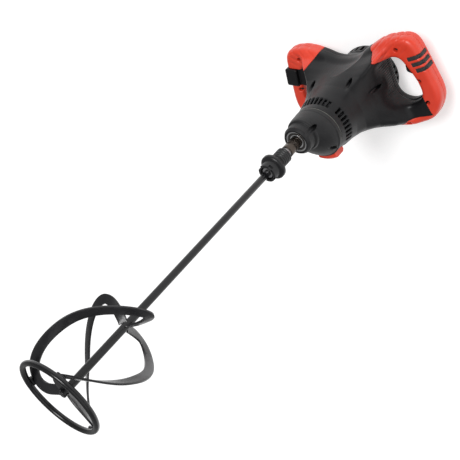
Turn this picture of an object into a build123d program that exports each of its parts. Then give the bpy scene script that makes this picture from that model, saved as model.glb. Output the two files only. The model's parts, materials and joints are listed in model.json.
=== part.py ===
from build123d import *
import math
import os

# Two-handed electric paint and mortar mixer with its stirring paddle. Millimetres.
# The tool stands on the flat end of its motor cap with the paddle up.
# The origin is where the spindle axis meets that flat end, +Z runs up the spindle to the
# paddle, +X points to the trigger handle and +Y to the side where the two grips are closest.

# ---- driving dimensions ----
RING_Z = 905.0          # height of the paddle's ring above the cap's end face
RING_R = 66.0           # ring centreline
RING_ROD_R = 4.5
SHAFT_R = 6.2           # paddle shaft
HUB_DROP = 13.6         # lower weld of the blades, below the ring
TOP_DROP = 143.0        # upper weld of the blades, below the ring
STRIP_W = 15.0          # blade flat bar
STRIP_T = 3.0
MOTOR_Y = -19.5         # motor axis, beside the spindle axis
NOSE_Z = 283.0          # face of the gearbox nose
JOINT_Z = 218.0         # gearbox housing meets the motor housing
SPLIT_Z = 53.0          # split plane of the handles and of the motor housing
GRIP_HALF = 19.0        # half the thickness of the handles
CAP_TOP = 30.0          # motor cap meets the rear housing
CAP_R = 60.5
WALL = 3.0
NOSE_R = 28.0           # clamping neck of the gearbox
NOSE_TIP_R = 24.5
BEARING_R = 21.0        # 6004 spindle bearing: 42 outside, 20 bore, 12 wide
BEARING_BORE = 10.0
BEARING_Z = 269.0
SMALL_BEARING_R = 11.0  # 608 rotor bearings: 22 outside, 8 bore, 7 wide
SMALL_BORE = 4.0
SMALL_W = 7.0
RUN = 0.05              # running clearance on radius
GAP = 0.4               # clearance between parts that do not touch
CHUCK_LOW = 321.0       # quick-change sleeve, machine end
CHUCK_HIGH = 380.0      # quick-change sleeve, paddle end

# ---- gear train: rotor pinion, layshaft wheel, layshaft pinion, output gear ----
PRESSURE = math.radians(20)
FAST_MODULE = 0.9
PINION_TEETH = 9
WHEEL_TEETH = 45
FAST_SHIFT = 0.5
SLOW_MODULE = 1.1
LAY_TEETH = 11
OUTPUT_TEETH = 41
SLOW_SHIFT = 0.4
FAST_CENTRES = FAST_MODULE * (PINION_TEETH + WHEEL_TEETH) / 2
SLOW_CENTRES = SLOW_MODULE * (LAY_TEETH + OUTPUT_TEETH) / 2
LAY_Y = (SLOW_CENTRES**2 - FAST_CENTRES**2 + MOTOR_Y**2) / (2 * MOTOR_Y)
LAY_X = -math.sqrt(SLOW_CENTRES**2 - LAY_Y**2)
BACKLASH = 0.06         # taken off each side of every tooth
WHEEL_Z = 219.5
WHEEL_W = 8.5
OUTPUT_Z = 232.0
OUTPUT_W = 14.0
OUTPUT_BORE = 10.5

MOTOR = (0, MOTOR_Y)
LAY = (LAY_X, LAY_Y)
MOTOR_SECTION = Plane.XZ.offset(-MOTOR_Y)
MOTOR_AXIS = Axis((0, MOTOR_Y, 0), (0, 0, 1))

os.makedirs("parts", exist_ok=True)


def save(builder, name):
    """Label a finished piece and write its STEP file."""
    builder.part.label = name
    export_step(builder.part, "parts/" + name + ".step")


def turned(points, section=Plane.XZ, axis=Axis.Z):
    """Revolve a closed (radius, height) outline; used inside a BuildPart."""
    with BuildSketch(section) as profile:
        with BuildLine():
            Polyline(*points, close=True)
        make_face()
    revolve(profile.sketch, axis=axis)


def ring(inner, outer, low, high, centre=(0, 0), mode=Mode.ADD):
    """A plain washer or tube between two heights; used inside a BuildPart."""
    with BuildSketch(Plane.XY.offset(low)) as profile:
        with Locations(centre):
            Circle(outer)
            if inner > 0:
                Circle(inner, mode=Mode.SUBTRACT)
    extrude(profile.sketch, amount=high - low, mode=mode)


def disc(radius, low, high, centre=(0, 0), mode=Mode.ADD):
    """A plain cylinder between two heights; used inside a BuildPart."""
    ring(0, radius, low, high, centre, mode)


# ---- gears ----
def tooth_points(teeth, module, shift, tip_trim, phase):
    """Outline of an involute gear with a tooth centred on the phase angle."""
    pitch_r = module * teeth / 2
    base_r = pitch_r * math.cos(PRESSURE)
    tip_r = module * (teeth / 2 + 1 + shift) - tip_trim
    root_r = module * (teeth / 2 - 1.25 + shift)
    half = (math.pi / 2 + 2 * shift * math.tan(PRESSURE)) / teeth - BACKLASH / pitch_r
    level = half + math.tan(PRESSURE) - PRESSURE

    def half_angle(radius):
        roll = math.acos(min(1.0, base_r / radius))
        return level - (math.tan(roll) - roll)

    start_r = max(base_r, root_r)
    radii = [start_r + (tip_r - start_r) * step / 4 for step in range(5)]
    flank = [(root_r, half_angle(start_r))] if root_r < base_r else []
    flank += [(radius, half_angle(radius)) for radius in radii]
    points = []
    for tooth in range(teeth):
        middle = phase + 2 * math.pi * tooth / teeth
        for radius, angle in flank:
            points.append((radius * math.cos(middle - angle), radius * math.sin(middle - angle)))
        for radius, angle in reversed(flank):
            points.append((radius * math.cos(middle + angle), radius * math.sin(middle + angle)))
    return points


def shifted(points, centre):
    """Move an outline to a centre."""
    return [(x + centre[0], y + centre[1]) for x, y in points]


fast_line = math.atan2(LAY_Y - MOTOR_Y, LAY_X)
slow_line = math.atan2(-LAY_Y, -LAY_X)
pinion_points = shifted(tooth_points(PINION_TEETH, FAST_MODULE, FAST_SHIFT, 0.15, fast_line), MOTOR)
wheel_points = shifted(
    tooth_points(WHEEL_TEETH, FAST_MODULE, -FAST_SHIFT, 0.0,
                 fast_line + math.pi + math.pi / WHEEL_TEETH), LAY)
lay_points = shifted(tooth_points(LAY_TEETH, SLOW_MODULE, SLOW_SHIFT, 0.15, slow_line), LAY)
output_points = tooth_points(OUTPUT_TEETH, SLOW_MODULE, -SLOW_SHIFT, 0.0,
                             slow_line + math.pi + math.pi / OUTPUT_TEETH)

# ---- paddle: three helical flat-bar blades, ring and shaft ----
# Stations of a blade's centreline from the lower weld to the upper weld:
# radius, azimuth in degrees, distance below the ring, and twist of the flat bar in degrees.
# The bar leaves the hub tilted, turns edgewise at its corner, climbs as a screw flight and
# rolls over at the top before it comes back to the shaft.
BLADE_STATIONS = (
    (SHAFT_R - 1.0, 184, HUB_DROP, -50),
    (24, 183, 10.5, -49),
    (43, 181, 8.5, -52),
    (57, 168, 10.5, -66),
    (64.5, 150, 20, -77),
    (68, 130, 37, -81),
    (70.5, 111, 59, -82),
    (71.5, 92, 86, -88),
    (68, 68, 114, -104),
    (62, 40, 141, -118),
    (51.5, 18, 157, -138),
    (29, 7, 153.5, -140),
    (SHAFT_R - 1.0, 3, TOP_DROP, -132),
)
BLADE_SECTIONS = 34


def blade_point(station, turn):
    """Place of a station in the part's frame."""
    radius, azimuth, drop, _ = station
    angle = math.radians(azimuth + turn)
    return Vector(radius * math.cos(angle), radius * math.sin(angle), RING_Z - drop)


def blade_plane(path, share):
    """Section plane of the flat bar at a share of its length: X runs across the bar's width."""
    place = path.param_at(share) * (len(BLADE_STATIONS) - 1)
    index = min(int(place), len(BLADE_STATIONS) - 2)
    low = BLADE_STATIONS[index][3]
    high = BLADE_STATIONS[index + 1][3]
    twist = math.radians(low + (high - low) * (place - index))
    tangent = path.tangent_at(share)
    down = Vector(0, 0, -1)
    upright = (down - tangent * down.dot(tangent)).normalized()
    across = upright * math.cos(twist) + tangent.cross(upright) * math.sin(twist)
    return Plane(origin=path.position_at(share), x_dir=across, z_dir=tangent)


def blade_path(turn):
    """Centreline of one blade as a spline through its stations."""
    shares = [index / (len(BLADE_STATIONS) - 1) for index in range(len(BLADE_STATIONS))]
    return Edge.make_spline([blade_point(s, turn) for s in BLADE_STATIONS], parameters=shares)


blades = []
for number in range(3):
    path = blade_path(120 * number)
    with BuildPart() as paddle_blade:
        for step in range(BLADE_SECTIONS):
            with BuildSketch(blade_plane(path, step / (BLADE_SECTIONS - 1))):
                Rectangle(STRIP_W, STRIP_T)
        loft()
        # the bar's ends butt against the shaft
        disc(SHAFT_R, RING_Z - 175, RING_Z + 5, mode=Mode.SUBTRACT)
    save(paddle_blade, "paddle_blade_" + str(number + 1))
    blades.append(paddle_blade.part)

# Each blade's corner is welded under the ring with a short bead.
BEAD_PLACE = (63.3, RING_Z - 5.1)
BEAD_R = 2.6
BEAD_START = 164.0      # degrees of azimuth, first blade
BEAD_ARC = 13.0
with BuildPart() as paddle_ring:
    with BuildSketch(Plane.XZ):
        with Locations((RING_R, RING_Z)):
            Circle(RING_ROD_R)
    revolve(axis=Axis.Z)
    for number in range(3):
        with BuildSketch(Plane.XZ.rotated((0, 0, BEAD_START + 120 * number))) as bead:
            with Locations(BEAD_PLACE):
                Circle(BEAD_R)
        revolve(bead.sketch, axis=Axis.Z, revolution_arc=BEAD_ARC)
    for blade in blades:
        add(blade, mode=Mode.SUBTRACT)
save(paddle_ring, "paddle_ring")

SHANK_LOW = 335.0
SHANK_HEX = 9.8
with BuildPart() as paddle_shaft:
    disc(SHAFT_R, CHUCK_HIGH - 1, RING_Z - 5)
    chamfer(paddle_shaft.faces().sort_by(Axis.Z)[-1].edges(), 1.0)
    with BuildSketch(Plane.XY.offset(SHANK_LOW)):
        RegularPolygon(SHANK_HEX / 2, 6, major_radius=False)
    extrude(amount=CHUCK_HIGH - 1 - SHANK_LOW)
save(paddle_shaft, "paddle_shaft")

# ---- quick-change chuck ----
CHUCK_BODY_R = 10.0
CHUCK_BODY_LOW = 314.0
HEX_LOW = 330.0
BALL_R = 2.2
BALL_CENTRE_R = 8.1
BALL_Z = 366.0
STUD_R = 7.0
SPRING_LOW = 330.0
SPRING_HIGH = 352.0
SPRING_WIRE_R = 0.6
SPRING_R = 11.5
SLEEVE_R = 15.0
FLANGE_R = 24.0
SKIRT_R = 17.0

with BuildPart() as chuck_body:
    disc(CHUCK_BODY_R, CHUCK_BODY_LOW, CHUCK_HIGH - 2)
    # shoulder that the sleeve's spring stands on
    disc(11.0, CHUCK_BODY_LOW + 10, SPRING_LOW - 1)
    with BuildSketch(Plane.XY.offset(HEX_LOW)):
        RegularPolygon(SHANK_HEX / 2 + 0.1, 6, major_radius=False)
    extrude(amount=CHUCK_HIGH - 2 - HEX_LOW, mode=Mode.SUBTRACT)
    disc(STUD_R, CHUCK_BODY_LOW, HEX_LOW - 2, mode=Mode.SUBTRACT)
    for turn in range(3):
        with BuildSketch(Plane.XZ.rotated((0, 0, 120 * turn)).offset(-CHUCK_BODY_R)):
            with Locations((0, BALL_Z)):
                Circle(BALL_R + 0.1)
        extrude(amount=CHUCK_BODY_R, mode=Mode.SUBTRACT)
save(chuck_body, "chuck_body")

with BuildPart() as chuck_balls:
    for turn in range(3):
        angle = math.radians(90 + 120 * turn)
        with Locations((BALL_CENTRE_R * math.cos(angle), BALL_CENTRE_R * math.sin(angle), BALL_Z)):
            Sphere(BALL_R)
save(chuck_balls, "chuck_balls")

RIBS = 5
with BuildPart() as chuck_sleeve:
    outline = [(CHUCK_BODY_R + 2.6, CHUCK_LOW)]
    rib_pitch = 5.0
    for rib in range(RIBS):
        base = CHUCK_LOW + 1 + rib_pitch * rib
        outline += [(SLEEVE_R - 1.2, base), (SLEEVE_R, base + 1.2), (SLEEVE_R, base + 3.4)]
        outline += [(SLEEVE_R - 1.2, base + 4.6)]
    outline += [(SLEEVE_R - 1, 348), (SLEEVE_R + 2, 353), (FLANGE_R - 2, 354), (FLANGE_R, 356.5)]
    outline += [(FLANGE_R, 361.5), (FLANGE_R - 2, 364), (SKIRT_R, 365), (SKIRT_R, CHUCK_HIGH)]
    outline += [(CHUCK_BODY_R + 2.6, CHUCK_HIGH), (CHUCK_BODY_R + 2.6, 372)]
    outline += [(CHUCK_BODY_R + GAP, 371), (CHUCK_BODY_R + GAP, SPRING_HIGH)]
    outline += [(CHUCK_BODY_R + 2.6, SPRING_HIGH)]
    turned(outline)
    # release notches in the skirt
    for turn in range(4):
        with BuildSketch(Plane.XY.offset(374)):
            with Locations(Location((0, 0, 0), (0, 0, 45 + 90 * turn))):
                with Locations((SKIRT_R, 0)):
                    Rectangle(7, 8)
        extrude(amount=CHUCK_HIGH - 374 + 1, mode=Mode.SUBTRACT)
save(chuck_sleeve, "chuck_sleeve")

SPRING_TURNS = 4
spring_span = SPRING_HIGH - SPRING_LOW - 2 * SPRING_WIRE_R - 0.2
with BuildPart() as chuck_spring:
    with BuildLine(Plane.XY.offset(SPRING_LOW + SPRING_WIRE_R + 0.1)) as spring_line:
        Helix(spring_span / SPRING_TURNS, spring_span, SPRING_R)
    with BuildSketch(spring_line.line ^ 0):
        Circle(SPRING_WIRE_R)
    sweep(is_frenet=True)
save(chuck_spring, "chuck_spring")

# ---- spindle with its gear and front bearing ----
SPINDLE_R = 11.5
REAR_JOURNAL_R = 5.0
PLATE_LOW = 206.0
PLATE_HIGH = 217.0
with BuildPart() as spindle:
    disc(REAR_JOURNAL_R, PLATE_LOW + 2.5, OUTPUT_Z - 1)
    disc(OUTPUT_BORE, OUTPUT_Z - 1, BEARING_Z - 6)
    disc(12.0, BEARING_Z - 20, BEARING_Z - 6)
    disc(BEARING_BORE, BEARING_Z - 6, NOSE_Z + 0.5)
    disc(SPINDLE_R, NOSE_Z + 0.5, CHUCK_BODY_LOW)
    disc(STUD_R, CHUCK_BODY_LOW, HEX_LOW - 2.5)
    # thread relief rings on the visible neck
    for groove in range(5):
        low = NOSE_Z + 4 + 2.6 * groove
        ring(SPINDLE_R - 0.8, SPINDLE_R + 1, low, low + 1.2, mode=Mode.SUBTRACT)
    # spanner flats
    with BuildSketch(Plane.XY.offset(300)):
        with Locations((0, SPINDLE_R + 3.5), (0, -SPINDLE_R - 3.5)):
            Rectangle(30, 10)
    extrude(amount=8, mode=Mode.SUBTRACT)
    # keyway of the output gear
    with BuildSketch(Plane.XY.offset(OUTPUT_Z)):
        with Locations((OUTPUT_BORE - 1, 0)):
            Rectangle(3, 4)
    extrude(amount=OUTPUT_W, mode=Mode.SUBTRACT)
save(spindle, "spindle")

with BuildPart() as output_gear:
    with BuildSketch(Plane.XY.offset(OUTPUT_Z)):
        with BuildLine():
            Polyline(*output_points, close=True)
        make_face()
        Circle(OUTPUT_BORE, mode=Mode.SUBTRACT)
        with Locations((OUTPUT_BORE, 0)):
            Rectangle(4, 4, mode=Mode.SUBTRACT)
    extrude(amount=OUTPUT_W)
save(output_gear, "output_gear")

with BuildPart() as output_gear_key:
    with BuildSketch(Plane.XY.offset(OUTPUT_Z + 1)):
        with Locations((OUTPUT_BORE + 0.25, 0)):
            Rectangle(3.3, 3.8)
    extrude(amount=OUTPUT_W - 2)
save(output_gear_key, "output_gear_key")

INNER_RACE_R = 14.0
BEARING_W = 12.0
BALL_TRACK_R = 16.1
SPINDLE_BALL_R = 2.0
with BuildPart() as spindle_bearing_inner:
    ring(BEARING_BORE, INNER_RACE_R, BEARING_Z, BEARING_Z + BEARING_W)
save(spindle_bearing_inner, "spindle_bearing_inner")

with BuildPart() as spindle_bearing_outer:
    ring(BALL_TRACK_R + SPINDLE_BALL_R + 0.1, BEARING_R, BEARING_Z, BEARING_Z + BEARING_W)
save(spindle_bearing_outer, "spindle_bearing_outer")

with BuildPart() as spindle_bearing_balls:
    with Locations(Plane.XY.offset(BEARING_Z + BEARING_W / 2)):
        with PolarLocations(BALL_TRACK_R, 12):
            Sphere(SPINDLE_BALL_R)
save(spindle_bearing_balls, "spindle_bearing_balls")

with BuildPart() as spindle_seal:
    for low in (BEARING_Z + 0.3, BEARING_Z + BEARING_W - 1.6):
        ring(INNER_RACE_R + GAP, BALL_TRACK_R + SPINDLE_BALL_R + 0.1, low, low + 1.2)
save(spindle_seal, "spindle_seal")

# ---- layshaft ----
LAY_R = 4.5
with BuildPart() as layshaft:
    disc(LAY_R, PLATE_LOW + 3.5, 254, LAY)
    with BuildSketch(Plane.XY.offset(OUTPUT_Z - 1)):
        with BuildLine():
            Polyline(*lay_points, close=True)
        make_face()
    extrude(amount=OUTPUT_W + 2)
save(layshaft, "layshaft")

with BuildPart() as layshaft_gear:
    with BuildSketch(Plane.XY.offset(WHEEL_Z)):
        with BuildLine():
            Polyline(*wheel_points, close=True)
        make_face()
        with Locations(LAY):
            Circle(LAY_R, mode=Mode.SUBTRACT)
    extrude(amount=WHEEL_W)
save(layshaft_gear, "layshaft_gear")

BUSH_WALL = 1.5
with BuildPart() as layshaft_bushes:
    ring(LAY_R + RUN, LAY_R + BUSH_WALL, PLATE_LOW + 3, PLATE_HIGH, LAY)
    ring(LAY_R + RUN, LAY_R + BUSH_WALL, 249, 255, LAY)
save(layshaft_bushes, "layshaft_bushes")

with BuildPart() as spindle_bush:
    ring(REAR_JOURNAL_R + RUN, REAR_JOURNAL_R + 2, PLATE_LOW + 3, PLATE_HIGH)
save(spindle_bush, "spindle_bush")

# ---- gearbox plate, gasket and housing ----
PLATE_R = 46.8
SCREW_PCD_R = 42.5
SCREW_ANGLES = (50, 130, 215, 325)
SCREW_R = 2.2
screw_places = [
    (SCREW_PCD_R * math.cos(math.radians(a)), MOTOR_Y + SCREW_PCD_R * math.sin(math.radians(a)))
    for a in SCREW_ANGLES
]
with BuildPart() as gearbox_plate:
    disc(PLATE_R, PLATE_LOW, PLATE_HIGH, MOTOR)
    disc(SMALL_BEARING_R, PLATE_HIGH - SMALL_W - 1, PLATE_HIGH + 1, MOTOR, Mode.SUBTRACT)
    disc(SMALL_BORE + 3, PLATE_LOW - 1, PLATE_HIGH, MOTOR, Mode.SUBTRACT)
    disc(REAR_JOURNAL_R + 2, PLATE_LOW + 2, PLATE_HIGH + 1, mode=Mode.SUBTRACT)
    disc(LAY_R + BUSH_WALL, PLATE_LOW + 3, PLATE_HIGH + 1, LAY, Mode.SUBTRACT)
    for place in screw_places:
        disc(SCREW_R + GAP, PLATE_LOW - 1, PLATE_HIGH + 1, place, Mode.SUBTRACT)
save(gearbox_plate, "gearbox_plate")

FLANGE_OUT = 50.5
FLANGE_TOP = 226.0
CAVITY_R = 46.0
LUG_R = 6.5
LUG_TOP = 231.0
HEAD_SEAT = 224.5       # under the heads of the gearbox screws

with BuildPart() as gearbox_gasket:
    ring(CAVITY_R + 1, FLANGE_OUT, PLATE_HIGH, JOINT_Z, MOTOR)
save(gearbox_gasket, "gearbox_gasket")

with BuildPart() as gearbox_form:
    disc(FLANGE_OUT, JOINT_Z, FLANGE_TOP, MOTOR)
    with BuildSketch(Plane.XY.offset(FLANGE_TOP - 1)):
        with Locations((0, MOTOR_Y + 0.5)):
            Circle(FLANGE_OUT - 1)
    with BuildSketch(Plane.XY.offset(246)):
        with Locations((0, -9)):
            Circle(41)
    with BuildSketch(Plane.XY.offset(257)):
        Circle(32.5)
    loft()
    turned([(0, 250), (32.5, 250), (32.5, 259), (31, 262), (NOSE_R, 262.5), (NOSE_R, NOSE_Z - 5),
            (NOSE_TIP_R, NOSE_Z), (0, NOSE_Z)])

with BuildPart() as gearbox_housing:
    add(gearbox_form.part)
    # gear space
    disc(CAVITY_R, JOINT_Z - 1, FLANGE_TOP + 2, MOTOR, Mode.SUBTRACT)
    with BuildSketch(Plane.XY.offset(FLANGE_TOP + 1)):
        with Locations((0, MOTOR_Y + 0.5)):
            Circle(CAVITY_R - 1)
    with BuildSketch(Plane.XY.offset(243)):
        with Locations((0, -9)):
            Circle(37)
    with BuildSketch(Plane.XY.offset(250)):
        with Locations((0, -4)):
            Circle(32)
    loft(mode=Mode.SUBTRACT)
    # screw tubes through the gear space, with lugs where they stand outside it
    with BuildPart(mode=Mode.PRIVATE) as tubes:
        for place in screw_places:
            disc(LUG_R, JOINT_Z, NOSE_Z, place)
        add(gearbox_form.part, mode=Mode.INTERSECT)
    add(tubes.part)
    for place in screw_places:
        disc(LUG_R, JOINT_Z, LUG_TOP, place)
    # bearing seat, spindle passage and layshaft pocket
    disc(BEARING_R, BEARING_Z, NOSE_Z + 1, mode=Mode.SUBTRACT)
    disc(BEARING_R - 3, 240, BEARING_Z + 1, mode=Mode.SUBTRACT)
    disc(LAY_R + BUSH_WALL, 249, 255.5, LAY, Mode.SUBTRACT)
    for place in screw_places:
        disc(4.6, HEAD_SEAT, NOSE_Z, place, Mode.SUBTRACT)
        disc(SCREW_R + GAP, JOINT_Z - 1, HEAD_SEAT + 1, place, Mode.SUBTRACT)
save(gearbox_housing, "gearbox_housing")

with BuildPart() as bearing_circlip:
    ring(BEARING_R - 2.2, BEARING_R - 0.05, BEARING_Z + BEARING_W + 0.1, BEARING_Z + BEARING_W + 1.2)
save(bearing_circlip, "bearing_circlip")

with BuildPart() as gearbox_screws:
    for place in screw_places:
        disc(4.0, HEAD_SEAT, HEAD_SEAT + 3.5, place)
        disc(SCREW_R, 200, HEAD_SEAT, place)
        with BuildSketch(Plane.XY.offset(HEAD_SEAT + 2)):
            with Locations(place):
                RegularPolygon(2, 6)
        extrude(amount=2, mode=Mode.SUBTRACT)
save(gearbox_screws, "gearbox_screws")

# ---- rotor ----
CORE_LOW = 85.0
CORE_HIGH = 145.0
CORE_R = 25.3
ROTOR_SHAFT_R = 5.0
REAR_BEARING_Z = 7.0
COMM_LOW = 50.0
COMM_HIGH = 64.0
COMM_R = 14.0
FAN_LOW = 178.0
FAN_HIGH = 192.0
FAN_R = 42.0

with BuildPart() as rotor_shaft:
    disc(SMALL_BORE, REAR_BEARING_Z, 20, MOTOR)
    disc(ROTOR_SHAFT_R, 20, 205, MOTOR)
    disc(SMALL_BORE, 205, WHEEL_Z - 1, MOTOR)
    with BuildSketch(Plane.XY.offset(WHEEL_Z - 1)):
        with BuildLine():
            Polyline(*pinion_points, close=True)
        make_face()
    extrude(amount=WHEEL_W + 1.5)
save(rotor_shaft, "rotor_shaft")

CORE_SLOTS = 12
with BuildPart() as armature_core:
    ring(ROTOR_SHAFT_R, CORE_R, CORE_LOW, CORE_HIGH, MOTOR)
    with BuildSketch(Plane.XY.offset(CORE_LOW)):
        with Locations(MOTOR):
            with PolarLocations(CORE_R - 2, CORE_SLOTS):
                Rectangle(10, 2.2)
            with PolarLocations(CORE_R - 8, CORE_SLOTS):
                Circle(3.2)
    extrude(amount=CORE_HIGH - CORE_LOW, mode=Mode.SUBTRACT)
save(armature_core, "armature_core")

with BuildPart() as armature_windings:
    for low, high in ((CORE_LOW - 15, CORE_LOW), (CORE_HIGH, CORE_HIGH + 14)):
        ring(ROTOR_SHAFT_R, 22, low, high, MOTOR)
    windings_rims = armature_windings.edges().filter_by(GeomType.CIRCLE)
    fillet(windings_rims.filter_by(lambda rim: rim.radius > 20), 4)
save(armature_windings, "armature_windings")

COMM_BARS = 24
with BuildPart() as commutator:
    ring(ROTOR_SHAFT_R, COMM_R, COMM_LOW, COMM_HIGH, MOTOR)
    ring(ROTOR_SHAFT_R, COMM_R + 2, COMM_HIGH, COMM_HIGH + 3, MOTOR)
    with BuildSketch(Plane.XY.offset(COMM_LOW)):
        with Locations(MOTOR):
            with PolarLocations(COMM_R + 1.5, COMM_BARS):
                Rectangle(5, 0.6)
    extrude(amount=COMM_HIGH + 3 - COMM_LOW, mode=Mode.SUBTRACT)
save(commutator, "commutator")

FAN_BLADES = 14
with BuildPart() as cooling_fan:
    ring(ROTOR_SHAFT_R, 11, FAN_LOW, FAN_HIGH, MOTOR)
    ring(ROTOR_SHAFT_R, FAN_R, FAN_LOW, FAN_LOW + 2, MOTOR)
    with BuildSketch(Plane.XY.offset(FAN_LOW + 2)):
        with Locations(MOTOR):
            with PolarLocations(FAN_R - 10, FAN_BLADES):
                with Locations(Rotation(0, 0, 25)):
                    Rectangle(17, 1.6)
    extrude(amount=FAN_HIGH - FAN_LOW - 2)
save(cooling_fan, "cooling_fan")


def small_bearing(low, outer):
    """One race of a 608 bearing with its share of the shields; used inside a BuildPart."""
    if outer:
        ring(8.6, SMALL_BEARING_R, low, low + SMALL_W, MOTOR)
        for shield in (low + 0.2, low + SMALL_W - 1.0):
            ring(6.3, 8.6, shield, shield + 0.8, MOTOR)
    else:
        ring(SMALL_BORE, 5.9, low, low + SMALL_W, MOTOR)


rotor_bearing_lows = (REAR_BEARING_Z, PLATE_HIGH - SMALL_W)
with BuildPart() as rotor_bearing_inner_rings:
    for low in rotor_bearing_lows:
        small_bearing(low, False)
save(rotor_bearing_inner_rings, "rotor_bearing_inner_rings")

with BuildPart() as rotor_bearing_outer_rings:
    for low in rotor_bearing_lows:
        small_bearing(low, True)
save(rotor_bearing_outer_rings, "rotor_bearing_outer_rings")

# ---- stator, brushes and air guide ----
STATOR_R = 44.0
POLE_R = 26.2
with BuildPart() as stator_core:
    with BuildSketch(Plane.XY.offset(CORE_LOW)):
        with Locations(MOTOR):
            Circle(STATOR_R)
            Circle(STATOR_R - 7, mode=Mode.SUBTRACT)
            Rectangle(26, 2 * STATOR_R - 4)
            with PolarLocations(31, 2, start_angle=90):
                Rectangle(9, 42)
            Circle(POLE_R, mode=Mode.SUBTRACT)
    extrude(amount=CORE_HIGH - CORE_LOW)
save(stator_core, "stator_core")

with BuildPart() as stator_coils:
    for side in (-1, 1):
        for reach in (-1, 1):
            with BuildSketch(Plane.XY.offset(CORE_LOW - 8)):
                with Locations((reach * 25.5, MOTOR_Y + side * 22)):
                    Rectangle(6, 9)
            extrude(amount=CORE_HIGH - CORE_LOW + 16)
        for low in (CORE_LOW - 8, CORE_HIGH + 1):
            with BuildSketch(Plane.XY.offset(low)):
                with Locations((0, MOTOR_Y + side * 29)):
                    Rectangle(57, 9)
                with Locations((0, MOTOR_Y + side * 25.5)):
                    with GridLocations(51, 0, 2, 1):
                        Rectangle(6, 16)
            extrude(amount=7)
    add(stator_core.part, mode=Mode.SUBTRACT)
save(stator_coils, "stator_coils")

BRUSH_Z = 57.0
PLATE_Z = 67.5
with BuildPart() as brush_plate:
    ring(20, 56, PLATE_Z, PLATE_Z + 3, MOTOR)
save(brush_plate, "brush_plate")

with BuildPart() as brush_holders:
    for side in (-1, 1):
        with BuildSketch(Plane.YZ.offset(side * 17)):
            with Locations((MOTOR_Y, BRUSH_Z + 1.5)):
                Rectangle(12, 18)
            with Locations((MOTOR_Y, BRUSH_Z)):
                Rectangle(8.4, 10.4, mode=Mode.SUBTRACT)
        extrude(amount=side * 26)
save(brush_holders, "brush_holders")

with BuildPart() as carbon_brushes:
    for side in (-1, 1):
        with BuildSketch(Plane.YZ.offset(side * (COMM_R + 0.3))):
            with Locations((MOTOR_Y, BRUSH_Z)):
                Rectangle(8, 10)
        extrude(amount=side * 16)
save(carbon_brushes, "carbon_brushes")

with BuildPart() as fan_baffle:
    ring(30, 50.5, 172, 174, MOTOR)
save(fan_baffle, "fan_baffle")

# ---- housings: one outer shape, hollowed, then cut into black and red pieces ----
HANDLE_TOP = SPLIT_Z + GRIP_HALF
HANDLE_LOW = SPLIT_Z - GRIP_HALF
OUTER_HALF = ((0, 42), (28, 46), (50, 60), (88, 77), (136, 78), (153, 64), (174, -38),
              (170, -62), (150, -93), (112, -104), (62, -106), (30, -96), (0, -92))
HAND_OPENING = ((78, 38), (112, 38), (131, -4), (137, -30), (133, -48), (110, -59),
                (88, -53), (77, -38))
BLACK_HALF = ((0, 130), (44, 130), (50, 72), (92, 37), (100, 0), (130, -42), (139, -47),
              (148, -84), (100, -88), (58, -112), (0, -130))
# radius against height of the body between its two joints
TRUMPET = ((74, SPLIT_Z), (71, 72), (62, 110), (57, 150), (55, 189), (50, 205), (50.5, PLATE_HIGH))
ARM_ANGLES = (38, -34, 142, 214)
ARM_HALF_WIDTH = 21.0
ARM_TAPER = 32.0        # degrees; the arms fall off to both sides of their ridges
# ridge of an arm: distance from the motor axis, height
RIDGE = ((122, 84), (108, 99), (96, 111), (84, 124), (74, 137), (66, 151), (59, 168), (55, 189))
RIM = 6.0               # chamfer along the handles' rims
LEFT_FROM = 80.0
LEFT_SHARE = 0.86


def left_x(x):
    """Place on the left that answers to a distance on the right; the left grip stands closer in."""
    return -(x if x < LEFT_FROM else LEFT_FROM + (x - LEFT_FROM) * LEFT_SHARE)


def mirrored(points, side):
    """Places or outline on one side of the X = 0 plane."""
    return [(x if side > 0 else left_x(x), y) for x, y in points]


def both_sides(points):
    """Close a right-hand half outline with its left-hand answer."""
    return list(points) + [(left_x(x), y) for x, y in reversed(points) if x > 0]


def handle_plan(low, inset):
    """Plan of both handles at a height, moved in by a wall; returns the sketch."""
    with BuildSketch(Plane.XY.offset(low)) as plan:
        with BuildLine():
            Polyline(*both_sides(OUTER_HALF), close=True)
        make_face()
        fillet([v for v in plan.vertices() if abs(v.X) > 100], 10)
        if inset > 0:
            offset(amount=-inset)
    return plan.sketch


def hand_openings(inset):
    """Clear both hand openings through the whole height; used inside a BuildPart."""
    for side in (-1, 1):
        with BuildSketch(Plane.XY) as opening:
            with BuildLine():
                Polyline(*mirrored(HAND_OPENING, side), close=True)
            make_face()
            fillet(opening.vertices(), 7)
            if inset > 0:
                offset(amount=inset)
        extrude(opening.sketch, amount=JOINT_Z, mode=Mode.SUBTRACT)


def soften(form, upper, size):
    """Chamfer the rim of the handles' outer end face; used inside a BuildPart."""
    face = form.faces().filter_by(Axis.Z).sort_by(Axis.Z)[-1 if upper else 0]
    chamfer(face.outer_wire().edges(), size)


def arm_profile(inset):
    """Concave ridge of one arm in its own vertical plane: (distance from motor axis, height)."""
    crest = [(reach - inset, height - inset) for reach, height in RIDGE]
    with BuildSketch(mode=Mode.PRIVATE) as ridge:
        with BuildLine():
            Polyline((-40, SPLIT_Z - 12), (crest[0][0], SPLIT_Z - 12), *crest, (-40, crest[-1][1]),
                     close=True)
        make_face()
    return ridge.sketch


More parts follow.
